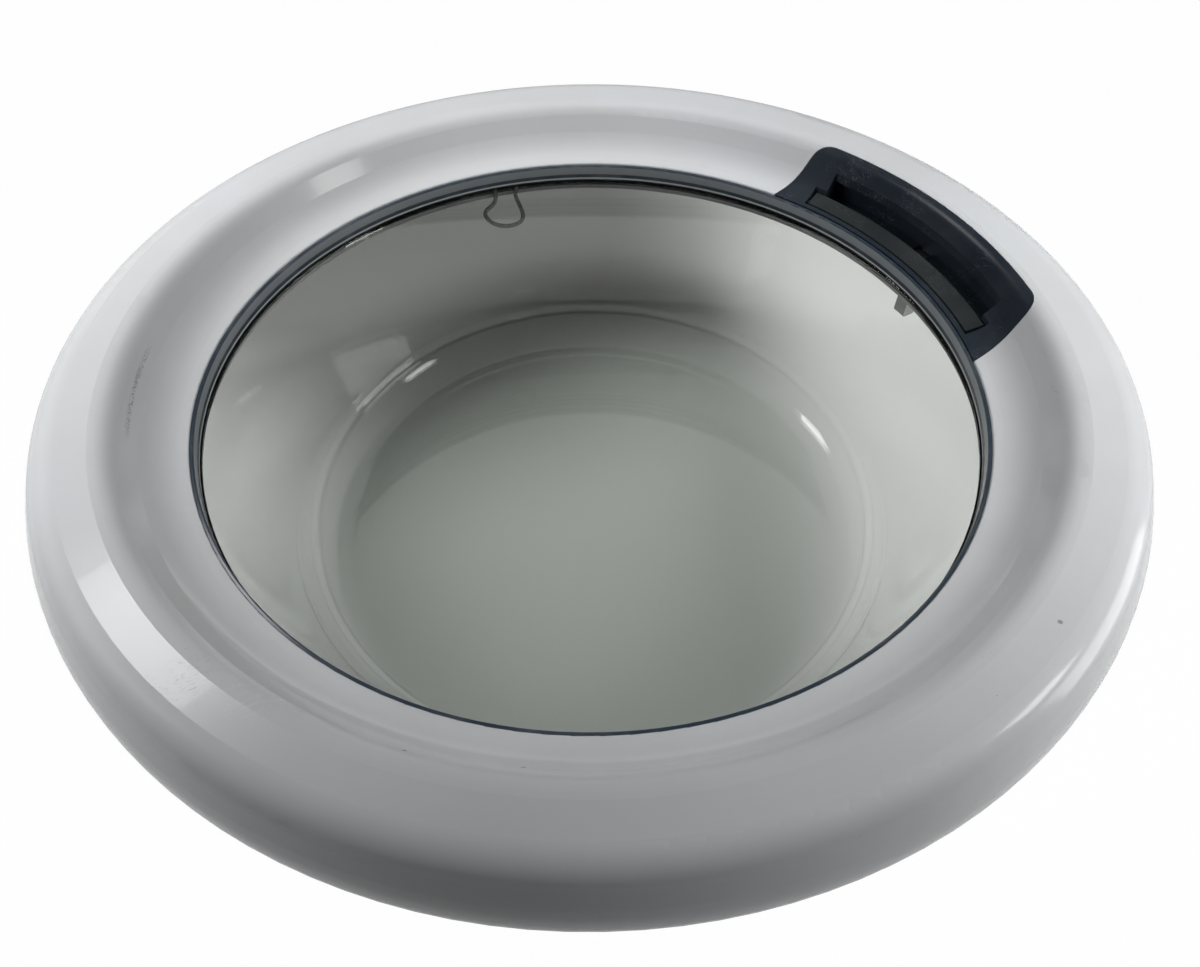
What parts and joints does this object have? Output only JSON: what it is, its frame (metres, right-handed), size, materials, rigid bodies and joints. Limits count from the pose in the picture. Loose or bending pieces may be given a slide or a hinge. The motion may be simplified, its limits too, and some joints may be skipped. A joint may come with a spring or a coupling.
{
  "type": "washing machine door",
  "caption": "Round front-loading washing machine door: glossy white ring, clear glass bowl, dark recessed handle with a sprung grip that lifts the latch hook, and a side hinge.",
  "frame": {"origin": "centre of the flat underside of the glass bowl, on the door's axis", "axes": "+Z leaves the front face along the door's axis, +X points to the handle and away from the hinge, +Y is up when the door hangs on the machine"},
  "size_m": [0.48, 0.48, 0.1317],
  "materials": {
    "white_ring": "glossy cool white moulding",
    "back_frame": "satin light grey moulding",
    "bowl_glass": "clear pressed glass",
    "rim_trim": "glossy dark blue-grey",
    "seal_rubber": "matt black",
    "handle_dark": "satin navy black",
    "grip_dark": "satin dark grey",
    "pin_steel": "ground",
    "spring_steel": "spring temper",
    "hook_metal": "cast and zinc plated",
    "carrier_plastic": "moulded",
    "hinge_metal": "cast and zinc plated",
    "bush_plastic": "moulded",
    "buffer_rubber": "matt grey",
    "screw_steel": "zinc plated"
  },
  "bodies": {
    "door": {"outer_ring": "white_ring", "inner_frame": "back_frame", "door_glass": "bowl_glass", "rim_trim": "rim_trim", "glass_gasket": "seal_rubber", "handle_cup": "handle_dark", "lever_pins": "pin_steel", "latch_carrier": "carrier_plastic", "hook_pin": "pin_steel", "hook_spring": "spring_steel", "hinge_leaf": "hinge_metal", "hinge_bush_upper": "bush_plastic", "hinge_bush_lower": "bush_plastic", "door_buffers": "buffer_rubber", "frame_screws": "screw_steel", "handle_screws": "screw_steel", "latch_screws": "screw_steel", "hinge_screws": "screw_steel"},
    "grip": {"grip_lever": "grip_dark"},
    "latch": {"latch_hook": "hook_metal"},
    "hinge": {"hinge_bracket": "hinge_metal", "hinge_pin": "pin_steel", "pin_clips": "spring_steel"}
  },
  "joints": [
    {"name": "grip_pull", "type": "hinge", "parent": "door", "child": "grip", "pos_m": [0.1765, 0, 0.104], "axis": [0, -1, 0], "range_deg": [0, 10], "stiffness_Nm_per_rad": 1, "springref_deg": -11.46},
    {"name": "latch_turn", "type": "hinge", "parent": "door", "child": "latch", "pos_m": [0.203, 0, 0.097], "axis": [0, 1, 0], "range_deg": [0, 20.5], "stiffness_Nm_per_rad": 0.5, "springref_deg": -11.46, "deforming": ["hook_spring"]},
    {"name": "door_hinge", "type": "hinge", "parent": "door", "child": "hinge", "pos_m": [-0.221, 0, 0.112], "axis": [0, 1, 0], "range_deg": [0, 110]}
  ],
  "couplings": [
    {"joint": "latch_turn", "follows": "grip_pull", "ratio": 2.05}
  ]
}
